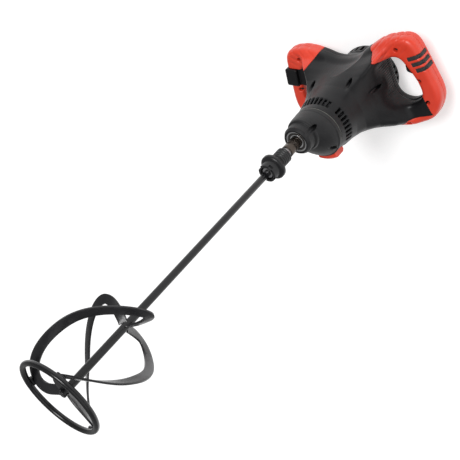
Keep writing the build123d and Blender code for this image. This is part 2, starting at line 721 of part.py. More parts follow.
def front_form(inset):
    """Solid form of the front half: body, arms and handle halves; returns the part."""
    with BuildPart() as form:
        extrude(handle_plan(SPLIT_Z, inset), amount=GRIP_HALF - inset)
        soften(form, True, RIM)
        outline = [(radius - inset, height) for radius, height in TRUMPET]
        with BuildSketch(MOTOR_SECTION) as body:
            with BuildLine():
                Polyline((0, SPLIT_Z), *outline, (0, PLATE_HIGH), close=True)
            make_face()
        revolve(body.sketch, axis=MOTOR_AXIS)
        for angle in ARM_ANGLES:
            stand = Plane(origin=(0, MOTOR_Y, 0), x_dir=Vector(1, 0, 0).rotate(Axis.Z, angle),
                          z_dir=Vector(0, -1, 0).rotate(Axis.Z, angle))
            extrude(stand * arm_profile(inset), amount=ARM_HALF_WIDTH - inset, both=True,
                    taper=ARM_TAPER)
        # nothing of the arms stands outside the handles' plan or below the split
        extrude(handle_plan(SPLIT_Z, inset), amount=PLATE_HIGH - SPLIT_Z, mode=Mode.INTERSECT)
        hand_openings(inset)
    return form.part


def rear_form(inset):
    """Solid form of the rear half: handle halves and the seat of the motor cap; returns the part."""
    with BuildPart() as form:
        extrude(handle_plan(HANDLE_LOW + inset, inset), amount=GRIP_HALF - inset)
        soften(form, False, RIM)
        disc(CAP_R - inset, CAP_TOP, SPLIT_Z, MOTOR)
        hand_openings(inset)
    return form.part


front_outer = front_form(0)
front_inner = front_form(WALL)
rear_outer = rear_form(0)
rear_inner = rear_form(WALL)

HANDLE_SCREWS = ((113, 56), (141, -11), (146, -56), (97, -96))
BODY_SCREWS = ((42, 31), (66, -4))
SCREW_SEAT = 62.0
WELL_TOP = 200.0        # screw wells are open upwards
BOSS_R = 5.5
HEAD_R = 3.6
SHANK_R = 2.0
SHANK_HOLE = SHANK_R + 0.1

# Speed control block around the middle of the left grip, and the trigger of the right grip.
GRIP_LEAN = 24.5        # lean of the grips from the Y axis, degrees
BLOCK_LEAN = 12.0
BLOCK_CENTRE = (-139, 20)
BLOCK_SIZE = (28, 38)
COLLAR_CENTRE = (-121, 16.2)
COLLAR_SIZE = (18, 37)
COLLAR_LOW = 35.0
COLLAR_HIGH = 69.0
BLOCK_LOW = 31.0
BLOCK_HIGH = 77.0
TRIGGER_CENTRE = (123.5, 11)
TRIGGER_HALF_Z = 7.5
INLET_X = -108.0
INLET_R = 4.25          # cable bore
INLET_BUSH_R = 7.0


def lean_location(centre, degrees):
    """A place turned about Z, for sketches that follow a grip."""
    return Location((centre[0], centre[1], 0), (0, 0, degrees))


def cut_region(points, keep):
    """Keep or remove everything above a plan region; used inside a BuildPart."""
    with BuildSketch(Plane.XY) as region:
        with BuildLine():
            Polyline(*points, close=True)
        make_face()
    extrude(region.sketch, amount=300, mode=Mode.INTERSECT if keep else Mode.SUBTRACT)


def right_half():
    """Keep what lies at positive X; used inside a BuildPart."""
    cut_region([(1, -200), (250, -200), (250, 200), (1, 200)], True)


def left_half():
    """Keep what lies at negative X; used inside a BuildPart."""
    cut_region([(-1, -200), (-250, -200), (-250, 200), (-1, 200)], True)


def screw_boss(place, front):
    """Boss and recess for one handle screw in a front or rear shell; used inside a BuildPart."""
    if front:
        disc(BOSS_R, SPLIT_Z, HANDLE_TOP - 1, place)
        disc(HEAD_R + 0.7, SCREW_SEAT, WELL_TOP, place, Mode.SUBTRACT)
        disc(SHANK_HOLE, SPLIT_Z - 1, SCREW_SEAT + 1, place, Mode.SUBTRACT)
    else:
        disc(BOSS_R, HANDLE_LOW + 1, SPLIT_Z, place)
        disc(SHANK_HOLE, HANDLE_LOW + 6, SPLIT_Z + 1, place, Mode.SUBTRACT)


def tilted_box(centre, degrees, size, low, high, mode=Mode.ADD):
    """A box turned about Z; size is across and along the grip; used inside a BuildPart."""
    with BuildSketch(Plane.XY.offset(low)) as profile:
        with Locations(lean_location(centre, degrees)):
            Rectangle(*size)
    extrude(profile.sketch, amount=high - low, mode=mode)


def grip_place(across, along):
    """A place in the right grip: across from its inner edge, along towards the upper arm."""
    lean = math.radians(GRIP_LEAN)
    return (TRIGGER_CENTRE[0] + across * math.cos(lean) - along * math.sin(lean),
            TRIGGER_CENTRE[1] + across * math.sin(lean) + along * math.cos(lean))


def inlet_hole(radius, inner_y, outer_y, mode=Mode.SUBTRACT):
    """Round hole or bush body of the cable inlet, along Y; used inside a BuildPart."""
    with BuildSketch(Plane.XZ.offset(-inner_y)) as profile:
        with Locations((INLET_X, SPLIT_Z)):
            Circle(radius)
    extrude(profile.sketch, amount=inner_y - outer_y, mode=mode)


def grip_shell(outer, inner, side, front):
    """Red grip shell: its share of the hollow form with bosses and pockets."""
    with BuildPart() as shell:
        add(outer)
        add(inner, mode=Mode.SUBTRACT)
        for place in mirrored(HANDLE_SCREWS, side):
            screw_boss(place, front)
        cut_region(both_sides(BLACK_HALF), False)
        if side > 0:
            right_half()
            tilted_box(TRIGGER_CENTRE, GRIP_LEAN, (16, 33), SPLIT_Z - TRIGGER_HALF_Z - 0.5,
                       SPLIT_Z + TRIGGER_HALF_Z + 0.5, Mode.SUBTRACT)
        else:
            left_half()
            tilted_box(BLOCK_CENTRE, -BLOCK_LEAN, (BLOCK_SIZE[0] + 40, BLOCK_SIZE[1]),
                       0, 120, Mode.SUBTRACT)
            inlet_hole(INLET_BUSH_R, -92, -112)
    return shell


def black_shell(outer, inner):
    """The black middle of one half before its details."""
    with BuildPart() as shell:
        add(outer)
        add(inner, mode=Mode.SUBTRACT)
        cut_region(both_sides(BLACK_HALF), True)
    return shell


body_screw_places = mirrored(BODY_SCREWS, 1) + mirrored(BODY_SCREWS, -1)
CAP_SCREW_R = 51.0
cap_screw_places = [
    (CAP_SCREW_R * math.cos(math.radians(a)), MOTOR_Y + CAP_SCREW_R * math.sin(math.radians(a)))
    for a in (45, 135, 225, 315)
]

VENT_SLOTS = 8
VENT_PITCH = 9.6
with BuildPart() as front_housing:
    add(black_shell(front_outer, front_inner).part)
    # seat of the gearbox plate and tube that holds the stator
    ring(47, 50, 203, PLATE_HIGH, MOTOR)
    ring(STATOR_R + 0.2, STATOR_R + 3, 82, 150, MOTOR)
    with BuildSketch(Plane.XY.offset(118)):
        with Locations(MOTOR):
            with PolarLocations(50.8, 8):
                Rectangle(9, 3)
    extrude(amount=32)
    disc(STATOR_R + 0.2, 82, 150, MOTOR, Mode.SUBTRACT)
    disc(47, PLATE_LOW, PLATE_HIGH + 1, MOTOR, Mode.SUBTRACT)
    # exhaust slots in the collar, four groups
    for group in range(4):
        for slot in range(VENT_SLOTS):
            angle = 90 * group + VENT_PITCH * (slot - (VENT_SLOTS - 1) / 2)
            with BuildSketch(Plane.XY.offset(190)):
                with Locations(lean_location(MOTOR, angle)):
                    with Locations((53, 0)):
                        Rectangle(12, 4.6)
            extrude(amount=13, mode=Mode.SUBTRACT)
    # screw tubes up to the outer skin
    with BuildPart(mode=Mode.PRIVATE) as tubes:
        for place in body_screw_places:
            disc(BOSS_R + 0.7, SPLIT_Z, WELL_TOP, place)
        for place in screw_places:
            disc(5.5, 196, PLATE_LOW, place)
        add(front_outer, mode=Mode.INTERSECT)
    add(tubes.part)
    for place in body_screw_places:
        disc(HEAD_R + 0.7, SCREW_SEAT, WELL_TOP, place, Mode.SUBTRACT)
        disc(SHANK_HOLE, SPLIT_Z - 1, SCREW_SEAT + 1, place, Mode.SUBTRACT)
    for place in screw_places:
        disc(SCREW_R, 198, PLATE_HIGH + 1, place, Mode.SUBTRACT)
save(front_housing, "front_housing")

with BuildPart() as rear_housing:
    add(black_shell(rear_outer, rear_inner).part)
    for place in body_screw_places:
        disc(BOSS_R, HANDLE_LOW + 1, SPLIT_Z, place)
        disc(SHANK_HOLE, HANDLE_LOW + 6, SPLIT_Z + 1, place, Mode.SUBTRACT)
    for place in cap_screw_places:
        disc(7, CAP_TOP, SPLIT_Z - 3, place)
        disc(SHANK_HOLE, CAP_TOP - 1, SPLIT_Z - 8, place, Mode.SUBTRACT)
save(rear_housing, "rear_housing")

# Rubber stripes let into the outer side of the right grip.
STRIPE_DEPTH = 1.4
STRIPE_PITCH = 13.0
with BuildPart() as right_grip_stripes:
    with BuildPart(mode=Mode.PRIVATE) as bands:
        for index in (-1, 0, 1):
            tilted_box(grip_place(34, STRIPE_PITCH * index + 2), GRIP_LEAN, (20, 8), 38, 90)
    add(bands.part)
    with BuildPart(mode=Mode.PRIVATE) as skin:
        add(front_outer)
        add(rear_outer)
        add(front_form(STRIPE_DEPTH), mode=Mode.SUBTRACT)
        add(rear_form(STRIPE_DEPTH), mode=Mode.SUBTRACT)
    add(skin.part, mode=Mode.INTERSECT)
save(right_grip_stripes, "right_grip_stripes")

for half, outer, inner in (("front", front_outer, front_inner), ("rear", rear_outer, rear_inner)):
    with BuildPart() as right_grip:
        add(grip_shell(outer, inner, 1, half == "front").part)
        add(right_grip_stripes.part, mode=Mode.SUBTRACT)
    save(right_grip, "right_grip_" + half)
    left_grip = grip_shell(outer, inner, -1, half == "front")
    for level, low_y, high_y in (("upper", BLOCK_CENTRE[1], 200), ("lower", -200, BLOCK_CENTRE[1])):
        with BuildPart() as left_piece:
            add(left_grip.part)
            cut_region([(-250, low_y), (0, low_y), (0, high_y), (-250, high_y)], True)
        save(left_piece, "left_" + level + "_grip_" + half)

with BuildPart() as handle_screws:
    for place in mirrored(HANDLE_SCREWS, 1) + mirrored(HANDLE_SCREWS, -1):
        disc(HEAD_R, SCREW_SEAT, SCREW_SEAT + 3, place)
        disc(SHANK_R, HANDLE_LOW + 8, SCREW_SEAT, place)
        with BuildSketch(Plane.XY.offset(SCREW_SEAT + 1.5)):
            with Locations(place):
                Rectangle(4.4, 1.1)
                Rectangle(1.1, 4.4)
        extrude(amount=2, mode=Mode.SUBTRACT)
save(handle_screws, "handle_screws")

with BuildPart() as body_screws:
    for place in body_screw_places:
        disc(HEAD_R, SCREW_SEAT, SCREW_SEAT + 3, place)
        disc(SHANK_R, HANDLE_LOW + 8, SCREW_SEAT, place)
save(body_screws, "body_screws")

# ---- trigger and switch in the right grip ----
TRIGGER_OUTLINE = ((10, 15), (0.5, 15), (-4, 9), (-8.5, 1), (-8.5, -3), (-4, -9), (0.5, -14.5),
                   (10, -14.5))
with BuildPart() as trigger:
    with BuildSketch(Plane.XY.offset(SPLIT_Z - TRIGGER_HALF_Z)):
        with BuildLine():
            Polyline(*[grip_place(across, along) for across, along in TRIGGER_OUTLINE], close=True)
        make_face()
    extrude(amount=2 * TRIGGER_HALF_Z)
    nose_edges = trigger.edges().filter_by(Axis.Z).sort_by(Axis.X)[:3]
    fillet(nose_edges, 2)
save(trigger, "trigger")

with BuildPart() as switch_module:
    tilted_box(grip_place(24, 0), GRIP_LEAN, (15, 34), SPLIT_Z - 9, SPLIT_Z + 9)
save(switch_module, "switch_module")

# ---- speed control in the left grip ----
BLOCK_WALL = 2.5
DIAL_R = 10.0
DIAL_STEM_R = 3.0
with BuildPart() as speed_block:
    tilted_box(BLOCK_CENTRE, -BLOCK_LEAN, BLOCK_SIZE, BLOCK_LOW, BLOCK_HIGH)
    fillet(speed_block.edges().filter_by(Axis.Z), 4)
    fillet(speed_block.faces().sort_by(Axis.Z)[-1].edges(), 3)
    # collar towards the hand opening
    tilted_box(COLLAR_CENTRE, -BLOCK_LEAN, COLLAR_SIZE, COLLAR_LOW, COLLAR_HIGH)
    tilted_box(BLOCK_CENTRE, -BLOCK_LEAN, (BLOCK_SIZE[0] - 2 * BLOCK_WALL,
               BLOCK_SIZE[1] - 2 * BLOCK_WALL), BLOCK_LOW + BLOCK_WALL, BLOCK_HIGH - BLOCK_WALL,
               Mode.SUBTRACT)
    # wires pass along the grip through both end walls
    tilted_box(BLOCK_CENTRE, -BLOCK_LEAN, (16, BLOCK_SIZE[1] + 4), SPLIT_Z - 8, SPLIT_Z + 8,
               Mode.SUBTRACT)
    disc(DIAL_STEM_R + RUN, BLOCK_LOW - 1, BLOCK_LOW + BLOCK_WALL + 1, BLOCK_CENTRE, Mode.SUBTRACT)
save(speed_block, "speed_block")

with BuildPart() as speed_dial:
    disc(DIAL_R, BLOCK_LOW - 4.5, BLOCK_LOW - GAP, BLOCK_CENTRE)
    disc(DIAL_STEM_R, BLOCK_LOW - 1, BLOCK_LOW + 7, BLOCK_CENTRE)
    with BuildSketch(Plane.XY.offset(BLOCK_LOW - 4.5)):
        with Locations(BLOCK_CENTRE):
            with PolarLocations(DIAL_R + 0.4, 16):
                Circle(1.2)
    extrude(amount=4.1, mode=Mode.SUBTRACT)
save(speed_dial, "speed_dial")

with BuildPart() as electronics_module:
    tilted_box(BLOCK_CENTRE, -BLOCK_LEAN, (20, 28), BLOCK_LOW + 9, BLOCK_HIGH - 8)
save(electronics_module, "electronics_module")

with BuildPart() as cable_bush:
    inlet_hole(INLET_BUSH_R, -94, -118, Mode.ADD)
    inlet_hole(INLET_BUSH_R + 2, -105.2, -108, Mode.ADD)
    inlet_hole(INLET_R, -93, -119)
save(cable_bush, "cable_bush")

# ---- motor cap and bumper ----
CAP_END_R = 54.0
CAP_SLOTS = 30
with BuildPart() as motor_cap:
    turned([(0, 0), (CAP_END_R, 0), (CAP_R - 1, 4), (CAP_R, 8), (CAP_R, CAP_TOP),
            (CAP_R - WALL, CAP_TOP), (CAP_R - WALL, 7), (CAP_END_R - 2, 3.5), (0, 3.5)],
           MOTOR_SECTION, MOTOR_AXIS)
    ring(SMALL_BEARING_R, SMALL_BEARING_R + 4, 3, REAR_BEARING_Z + SMALL_W, MOTOR)
    disc(SMALL_BEARING_R - 2, 3, REAR_BEARING_Z, MOTOR)
    for place in cap_screw_places:
        disc(5, 3, CAP_TOP, place)
        disc(HEAD_R + 0.5, -1, 5, place, Mode.SUBTRACT)
        disc(SHANK_HOLE, 4, CAP_TOP + 1, place, Mode.SUBTRACT)
    with BuildSketch(Plane.XY.offset(9)):
        with Locations(MOTOR):
            with PolarLocations(CAP_R, CAP_SLOTS):
                Rectangle(9, 6)
    extrude(amount=15, mode=Mode.SUBTRACT)
save(motor_cap, "motor_cap")

with BuildPart() as cap_screws:
    for place in cap_screw_places:
        disc(HEAD_R, 2, 5, place)
        disc(SHANK_R, 5, 44, place)
save(cap_screws, "cap_screws")

with BuildPart() as bumper_foot:
    ring(FLANGE_OUT + 0.1, 62, 194, 222, MOTOR)
    cut_region([(-26, -200), (32, -200), (22, -55), (-16, -55)], True)
    chamfer(bumper_foot.faces().sort_by(Axis.Y)[0].edges().filter_by(GeomType.CIRCLE), 4)
    add(front_outer, mode=Mode.SUBTRACT)
save(bumper_foot, "bumper_foot")
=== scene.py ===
import json
import math
from itertools import pairwise

import bmesh
import bpy
import numpy as np
from mathutils import Matrix, Vector


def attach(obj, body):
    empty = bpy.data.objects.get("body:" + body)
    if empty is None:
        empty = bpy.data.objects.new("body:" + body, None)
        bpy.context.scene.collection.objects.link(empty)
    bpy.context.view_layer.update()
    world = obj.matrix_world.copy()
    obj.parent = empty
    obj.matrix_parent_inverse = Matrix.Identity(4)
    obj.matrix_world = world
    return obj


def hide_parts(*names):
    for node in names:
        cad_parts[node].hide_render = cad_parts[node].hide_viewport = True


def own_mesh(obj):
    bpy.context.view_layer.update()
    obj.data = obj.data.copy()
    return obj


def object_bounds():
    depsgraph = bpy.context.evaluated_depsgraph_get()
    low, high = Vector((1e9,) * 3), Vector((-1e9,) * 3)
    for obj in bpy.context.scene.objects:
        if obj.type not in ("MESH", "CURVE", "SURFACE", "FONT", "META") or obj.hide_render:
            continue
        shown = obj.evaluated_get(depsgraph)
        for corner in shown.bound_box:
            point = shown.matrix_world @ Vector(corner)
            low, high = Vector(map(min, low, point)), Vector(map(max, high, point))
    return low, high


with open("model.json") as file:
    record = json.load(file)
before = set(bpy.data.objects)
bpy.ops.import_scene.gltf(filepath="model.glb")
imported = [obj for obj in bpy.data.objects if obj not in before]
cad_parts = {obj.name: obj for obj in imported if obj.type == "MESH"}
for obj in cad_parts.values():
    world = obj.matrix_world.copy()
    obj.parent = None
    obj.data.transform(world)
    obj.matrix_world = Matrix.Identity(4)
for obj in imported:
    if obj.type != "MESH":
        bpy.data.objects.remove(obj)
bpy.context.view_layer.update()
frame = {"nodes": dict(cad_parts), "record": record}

body_of = {n: b for b, names in frame["record"]["behaviour"]["bodies"].items() for n in names}
slot_of = {s["node"]: s["material_slot"] for s in frame["record"]["subparts"]}


# ---------------------------------------------------------------- materials
def new_material(name):
    mat = bpy.data.materials.new(name)
    mat.use_nodes = True
    nodes, links = mat.node_tree.nodes, mat.node_tree.links
    shader = nodes["Principled BSDF"]
    coords = nodes.new("ShaderNodeTexCoord")
    return mat, nodes, links, shader, coords


def noise_node(nodes, links, coords, scale, detail=4.0, rough=0.55, stretch=None):
    tex = nodes.new("ShaderNodeTexNoise")
    tex.inputs["Scale"].default_value = scale
    tex.inputs["Detail"].default_value = detail
    tex.inputs["Roughness"].default_value = rough
    if stretch is None:
        links.new(coords.outputs["Object"], tex.inputs["Vector"])
    else:
        mapping = nodes.new("ShaderNodeMapping")
        mapping.inputs["Scale"].default_value = stretch
        links.new(coords.outputs["Object"], mapping.inputs["Vector"])
        links.new(mapping.outputs["Vector"], tex.inputs["Vector"])
    return tex


def ramp_node(nodes, links, source, stops):
    ramp = nodes.new("ShaderNodeValToRGB")
    points = ramp.color_ramp.elements
    while len(points) < len(stops):
        points.new(0.5)
    for point, (place, colour) in zip(points, stops):
        point.position = place
        point.color = (*colour, 1.0)
    links.new(source, ramp.inputs["Fac"])
    return ramp


def surface(name, colours, rough, grain, grain_depth, cloud=18.0, metallic=0.0, coat=0.0,
            grain_detail=3.0, stretch=None, dirt=0.25, specular=0.5):
    """A procedural surface: clouded colour, patchy roughness, two scales of bump and dusty wear."""
    mat, nodes, links, shader, coords = new_material(name)
    shader.inputs["Metallic"].default_value = metallic
    shader.inputs["Specular IOR Level"].default_value = specular
    if coat:
        shader.inputs["Coat Weight"].default_value = coat
        shader.inputs["Coat Roughness"].default_value = 0.12
    clouds = noise_node(nodes, links, coords, cloud, 5.0)
    spread = ramp_node(nodes, links, clouds.outputs["Fac"], [(0.32, colours[0]), (0.68, colours[1])])
    specks = noise_node(nodes, links, coords, cloud * 9, 2.0)
    wear = ramp_node(nodes, links, specks.outputs["Fac"], [(0.60, (0, 0, 0)), (0.80, (dirt,) * 3)])
    blend = nodes.new("ShaderNodeMix")
    blend.data_type = "RGBA"
    blend.inputs["B"].default_value = (*colours[2], 1.0)
    links.new(wear.outputs["Color"], blend.inputs["Factor"])
    links.new(spread.outputs["Color"], blend.inputs["A"])
    links.new(blend.outputs["Result"], shader.inputs["Base Color"])
    patches = noise_node(nodes, links, coords, cloud * 2.3, 4.0)
    band = nodes.new("ShaderNodeMapRange")
    band.inputs["To Min"].default_value = rough[0]
    band.inputs["To Max"].default_value = rough[1]
    links.new(patches.outputs["Fac"], band.inputs["Value"])
    links.new(band.outputs["Result"], shader.inputs["Roughness"])
    fine = noise_node(nodes, links, coords, grain, grain_detail, stretch=stretch)
    wide = noise_node(nodes, links, coords, cloud * 1.5, 2.0)
    first = nodes.new("ShaderNodeBump")
    first.inputs["Strength"].default_value = 0.5
    first.inputs["Distance"].default_value = grain_depth
    links.new(fine.outputs["Fac"], first.inputs["Height"])
    second = nodes.new("ShaderNodeBump")
    second.inputs["Strength"].default_value = 0.12
    second.inputs["Distance"].default_value = 0.0006
    links.new(wide.outputs["Fac"], second.inputs["Height"])
    links.new(first.outputs["Normal"], second.inputs["Normal"])
    links.new(second.outputs["Normal"], shader.inputs["Normal"])
    return mat


M = {
    "black_plastic": surface("black_plastic",
                             ((0.005, 0.005, 0.006), (0.009, 0.009, 0.010), (0.03, 0.03, 0.03)),
                             (0.30, 0.42), 2200, 0.00012, dirt=0.12, specular=0.26),
    "red_plastic": surface("red_plastic",
                             ((0.68, 0.042, 0.018), (0.77, 0.058, 0.026), (0.80, 0.13, 0.07)),
                           (0.30, 0.42), 1500, 0.00010, dirt=0.12),
    "grip_rubber": surface("grip_rubber",
                             ((0.022, 0.020, 0.020), (0.035, 0.032, 0.032), (0.09, 0.08, 0.08)),
                           (0.60, 0.75), 1100, 0.0002),
    "gearbox_paint": surface("gearbox_paint",
                             ((0.010, 0.010, 0.011), (0.018, 0.018, 0.019), (0.06, 0.06, 0.06)),
                             (0.38, 0.54), 900, 0.00035, grain_detail=5.0, dirt=0.15, specular=0.32),
    "paddle_paint": surface("paddle_paint",
                             ((0.004, 0.004, 0.005), (0.008, 0.008, 0.009), (0.03, 0.03, 0.03)),
                            (0.20, 0.32), 400, 0.00006, coat=0.15, dirt=0.06, specular=0.32),
    "blade_paint": surface("blade_paint",
                             ((0.007, 0.007, 0.008), (0.013, 0.013, 0.015), (0.05, 0.05, 0.053)),
                           (0.24, 0.38), 500, 0.00010, coat=0.15, dirt=0.10, specular=0.36),
    "chuck_plastic": surface("chuck_plastic",
                             ((0.008, 0.008, 0.009), (0.014, 0.014, 0.015), (0.05, 0.05, 0.05)),
                             (0.26, 0.40), 1400, 0.00010, dirt=0.12, specular=0.38),
    "spindle_steel": surface("spindle_steel",
                             ((0.045, 0.036, 0.030), (0.11, 0.090, 0.076), (0.40, 0.37, 0.34)),
                             (0.18, 0.34), 900, 0.00008, metallic=0.95, stretch=(0.2, 0.2, 3.0)),
    "bright_steel": surface("bright_steel", ((0.55, 0.55, 0.56), (0.70, 0.70, 0.71), (0.40, 0.37, 0.34)),
                            (0.16, 0.30), 1200, 0.00006, metallic=1.0),
    "gear_steel": surface("gear_steel", ((0.34, 0.34, 0.35), (0.46, 0.46, 0.47), (0.25, 0.22, 0.20)),
                          (0.25, 0.42), 900, 0.00008, metallic=1.0),
    "zinc_screw": surface("zinc_screw", ((0.05, 0.05, 0.052), (0.10, 0.10, 0.105), (0.24, 0.24, 0.24)),
                          (0.30, 0.45), 1200, 0.00008, metallic=0.85),
    "cast_aluminium": surface("cast_aluminium",
                             ((0.48, 0.48, 0.49), (0.60, 0.60, 0.61), (0.35, 0.35, 0.35)),
                              (0.40, 0.58), 700, 0.0003, metallic=0.9),
    "lamination": surface("lamination", ((0.14, 0.14, 0.15), (0.22, 0.22, 0.23), (0.08, 0.08, 0.08)),
                          (0.40, 0.55), 1600, 0.0002, metallic=0.8, stretch=(0.05, 0.05, 1.0)),
    "copper": surface("copper", ((0.52, 0.21, 0.08), (0.66, 0.30, 0.13), (0.30, 0.12, 0.05)),
                      (0.28, 0.42), 1300, 0.0003, metallic=0.8, stretch=(1.0, 1.0, 0.1)),
    "bronze": surface("bronze", ((0.38, 0.24, 0.10), (0.50, 0.34, 0.15), (0.24, 0.15, 0.07)),
                      (0.32, 0.46), 1300, 0.0001, metallic=0.95),
    "carbon": surface("carbon", ((0.018, 0.018, 0.018), (0.03, 0.03, 0.03), (0.08, 0.08, 0.08)),
                      (0.50, 0.65), 1500, 0.0001),
    "inner_plastic": surface("inner_plastic",
                             ((0.06, 0.06, 0.065), (0.09, 0.09, 0.095), (0.14, 0.14, 0.14)),
                             (0.40, 0.55), 1300, 0.00015),
    "seal_rubber": surface("seal_rubber",
                             ((0.018, 0.016, 0.015), (0.03, 0.027, 0.025), (0.08, 0.07, 0.06)),
                           (0.45, 0.60), 1200, 0.00012),
    "gasket": surface("gasket", ((0.10, 0.10, 0.09), (0.15, 0.15, 0.13), (0.2, 0.2, 0.18)),
                      (0.60, 0.80), 1400, 0.0002),
}


# ---------------------------------------------------------------- mesh helpers
def link(name, mesh, slot, body, *stood_for):
    """A finished mesh becomes a piece that rides on a body and stands for its CAD nodes."""
    piece = bpy.data.objects.new(name, mesh)
    bpy.context.scene.collection.objects.link(piece)
    mesh.materials.clear()
    mesh.materials.append(M[slot])
    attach(piece, body)
    if stood_for:
        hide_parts(*stood_for)
    return piece


def baked(piece):
    """Apply a piece's modifiers and return the resulting mesh."""
    graph = bpy.context.evaluated_depsgraph_get()
    mesh = bpy.data.meshes.new_from_object(piece.evaluated_get(graph))
    bpy.data.objects.remove(piece)
    return mesh


def welded(node):
    """The CAD mesh with its seams joined, as a bmesh."""
    shape = bmesh.new()
    shape.from_mesh(frame["nodes"][node].data)
    bmesh.ops.remove_doubles(shape, verts=shape.verts, dist=1e-6)
    return shape


def shade(mesh, degrees=35):
    mesh.polygons.foreach_set("use_smooth", [True] * len(mesh.polygons))
    shape = bmesh.new()
    shape.from_mesh(mesh)
    for edge in shape.edges:
        if len(edge.link_faces) == 2:
            edge.smooth = edge.calc_face_angle(0) < math.radians(degrees)
    shape.to_mesh(mesh)
    shape.free()


def crisp(node, width=0.0004, name=None):
    """A machined or moulded piece with small rounded edges, made from its CAD mesh."""
    shape = welded(node)
    bmesh.ops.dissolve_limit(shape, angle_limit=math.radians(0.5), verts=shape.verts, edges=shape.edges)
    mesh = bpy.data.meshes.new(node)
    shape.to_mesh(mesh)
    shape.free()
    holder = bpy.data.objects.new("holder", mesh)
    bpy.context.scene.collection.objects.link(holder)
    bevel = holder.modifiers.new("bevel", "BEVEL")
    bevel.width = width
    bevel.segments = 2
    bevel.limit_method = "ANGLE"
    bevel.angle_limit = math.radians(40)
    bevel.use_clamp_overlap = True
    mesh = baked(holder)
    shade(mesh, 50)
    return link(name or node + "_look", mesh, slot_of[node], body_of[node], node)


def soft(node, voxel, rounds, name=None):
    """A moulded shell with soft edges, made from its CAD mesh."""
    shape = welded(node)
    mesh = bpy.data.meshes.new(node)
    shape.to_mesh(mesh)
    shape.free()
    holder = bpy.data.objects.new("holder", mesh)
    bpy.context.scene.collection.objects.link(holder)
    remesh = holder.modifiers.new("remesh", "REMESH")
    remesh.mode = "VOXEL"
    remesh.voxel_size = voxel
    smooth = holder.modifiers.new("smooth", "SMOOTH")
    smooth.factor = 0.5
    smooth.iterations = rounds
    mesh = baked(holder)
    mesh.polygons.foreach_set("use_smooth", [True] * len(mesh.polygons))
    return link(name or node + "_look", mesh, slot_of[node], body_of[node], node)


# ---------------------------------------------------------------- moulded shells
# The housings are one flowing form: rounded handles, a flared body and four ridged arms.
# It is written as a signed distance in millimetres and skinned on a fine grid.
STEP = 1.2
SPLIT_Z = 53.0          # split plane between the front and rear shells
SCREW_SEAT = 62
LOW = np.array((-177.0, -121.0, 27.0))
HIGH = np.array((177.0, 82.0, 220.0))
AXES = [np.arange(a, b, STEP, dtype=np.float32) for a, b in zip(LOW, HIGH)]
X = AXES[0][:, None, None]
Y = AXES[1][None, :, None]
Z = AXES[2][None, None, :]


def blend_min(a, b, k):
    h = np.clip(0.5 + 0.5 * (b - a) / k, 0, 1)
    return b + (a - b) * h - k * h * (1 - h)


def blend_max(a, b, k):
    return -blend_min(-a, -b, k)


def rounded(points, reach):
    """Outline with every corner eased over a distance along its two sides."""
    eased = []
    count = len(points)
    for index in range(count):
        before, corner, after = (Vector(points[(index + k) % count]) for k in (-1, 0, 1))
        first = corner + (before - corner) * min(0.48, reach / (before - corner).length)
        last = corner + (after - corner) * min(0.48, reach / (after - corner).length)
        for step in range(5):
            t = step / 4
            eased.append(tuple(first.lerp(corner, t).lerp(corner.lerp(last, t), t)))
    return eased


def outline_distance(points, x, y):
    """Signed distance to a closed outline, negative inside."""
    best = np.full(np.broadcast(x, y).shape, 1e9, np.float32)
    outside = np.ones(best.shape, bool)
    for (ax, ay), (bx, by) in pairwise([*points, points[0]]):
        ex, ey = bx - ax, by - ay
        wx, wy = x - ax, y - ay
        t = np.clip((wx * ex + wy * ey) / (ex * ex + ey * ey), 0, 1)
        best = np.minimum(best, np.hypot(wx - ex * t, wy - ey * t))
        if ay != by:
            spans = (ay <= y) != (by <= y)
            outside ^= spans & (x < ax + (y - ay) / (by - ay) * ex)
    return np.where(outside, best, -best)


LEFT_FROM = 80
LEFT_SHARE = 0.86


def left_x(x):
    """The left grip stands closer in than the right one."""
    return -(x if x < LEFT_FROM else LEFT_FROM + (x - LEFT_FROM) * LEFT_SHARE)


def both_sides(points):
    return list(points) + [(left_x(x), y) for x, y in reversed(points) if x > 0]


def mirrored(points):
    return [(left_x(x), y) for x, y in points]


def tilted(centre, degrees, half, x=X, y=Y):
    """Signed distance in plan to a rectangle turned about Z; half is across and along."""
    lean = math.radians(degrees)
    across = (x - centre[0]) * math.cos(lean) + (y - centre[1]) * math.sin(lean)
    along = -(x - centre[0]) * math.sin(lean) + (y - centre[1]) * math.cos(lean)
    return np.maximum(np.abs(across) - half[0], np.abs(along) - half[1])


def rounded_slab(plan, half, radius, middle=SPLIT_Z):
    """A plan distance given a thickness, with rims rounded to a radius."""
    flat = plan + radius
    tall = np.abs(Z - middle) - (half - radius)
    inner = np.minimum(np.maximum(flat, tall), 0)
    return inner + np.hypot(np.maximum(flat, 0), np.maximum(tall, 0)) - radius


OUTER_HALF = ((0, 42), (28, 46), (50, 60), (88, 77), (136, 78), (153, 64), (174, -38),
              (170, -62), (150, -93), (112, -104), (62, -106), (30, -96), (0, -92))
HAND_OPENING = ((78, 38), (112, 38), (131, -4), (137, -30), (133, -48), (110, -59),
                (88, -53), (77, -38))
BLACK_HALF = ((0, 130), (44, 130), (50, 72), (92, 37), (100, 0), (130, -42), (139, -47),
              (148, -84), (100, -88), (58, -112), (0, -130))
MOTOR_Y = -19.5
RADIUS = np.hypot(X, Y - MOTOR_Y)
ANGLE = np.arctan2(Y - MOTOR_Y, X)
BODY_Z = (53, 72, 90, 110, 150, 189, 205, 217)
BODY_R = (74, 71, 66, 62, 57, 55, 50.4, 50.4)
RIDGE_Z = (53, 72, 84, 100, 110, 125, 150, 172, 189, 217)
RIDGE_R = (134, 128, 120, 108, 98, 84, 67, 58, 55, 50)


